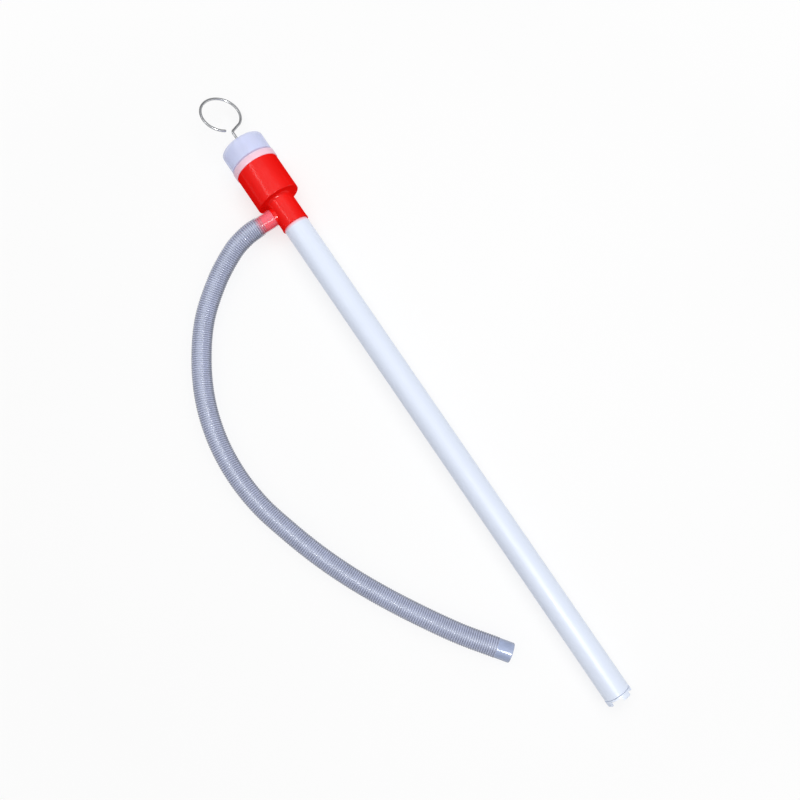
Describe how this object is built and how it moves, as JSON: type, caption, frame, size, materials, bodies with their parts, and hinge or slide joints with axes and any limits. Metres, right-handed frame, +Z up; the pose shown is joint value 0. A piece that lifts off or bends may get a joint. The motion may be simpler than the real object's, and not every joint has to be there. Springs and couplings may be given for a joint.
{
  "type": "hand bilge pump",
  "caption": "Hand bilge pump with a long pale tube, red head, push-on cap, steel pull rod with a finger ring, and a corrugated discharge hose.",
  "frame": {"origin": "on the floor under the middle of the pump's box, hose left out; the pump lies on the skirt of its cap and on its foot plug", "axes": "+X runs from the foot of the tube to the finger ring, +Y points to the discharge hose, +Z is up from the floor"},
  "size_m": [0.6728, 0.2067, 0.0449],
  "materials": {
    "red_plastic": "glossy moulded red",
    "pale_plastic": "satin extruded white with a cool tint",
    "milky_plastic": "milky translucent moulding",
    "clear_grey_plastic": "translucent corrugated hose",
    "natural_plastic": "uncoloured moulding",
    "black_rubber": "soft black",
    "steel_wire": "drawn bright wire",
    "steel_ball": "polished ball",
    "zinc_steel": "bright zinc"
  },
  "bodies": {
    "pump": {"pump_body": "red_plastic", "barrel_tube": "pale_plastic", "foot_valve_body": "pale_plastic", "foot_valve_seat_ring": "black_rubber", "foot_valve_cage": "natural_plastic", "outlet_hose": "clear_grey_plastic", "hose_outlet_cuff": "clear_grey_plastic", "hose_end_cuff": "clear_grey_plastic"},
    "cap_set": {"cap": "milky_plastic", "cap_gasket": "black_rubber", "rod_grommet": "natural_plastic"},
    "piston": {"piston_body": "natural_plastic", "piston_cup_seal": "black_rubber", "piston_cup_spreader": "natural_plastic"},
    "rod": {"pull_rod": "steel_wire", "rod_lock_nut": "zinc_steel", "rod_nut_lower": "zinc_steel", "rod_washer": "zinc_steel", "valve_spacer": "zinc_steel", "valve_stop_washer": "zinc_steel", "stop_nut": "zinc_steel"},
    "valve_disc": {"piston_valve_disc": "black_rubber"},
    "valve_ball": {"foot_valve_ball": "steel_ball"}
  },
  "joints": [
    {"name": "cap_lift", "type": "slide", "parent": "pump", "child": "cap_set", "axis": [0.9999, 0, 0.0164], "range_m": [0, 0.012]},
    {"name": "piston_stroke", "type": "slide", "parent": "pump", "child": "piston", "axis": [0.9999, 0, 0.0164], "range_m": [0, 0.474]},
    {"name": "rod_turn", "type": "hinge", "parent": "piston", "child": "rod", "pos_m": [-0.29138, -0.0045, 0.01348], "axis": [0.9999, 0, 0.0164], "continuous": true},
    {"name": "piston_valve_lift", "type": "slide", "parent": "piston", "child": "valve_disc", "axis": [0.9999, 0, 0.0164], "range_m": [0, 0.003]},
    {"name": "foot_valve_lift", "type": "slide", "parent": "pump", "child": "valve_ball", "axis": [0.9999, 0, 0.0164], "range_m": [0, 0.005]}
  ]
}
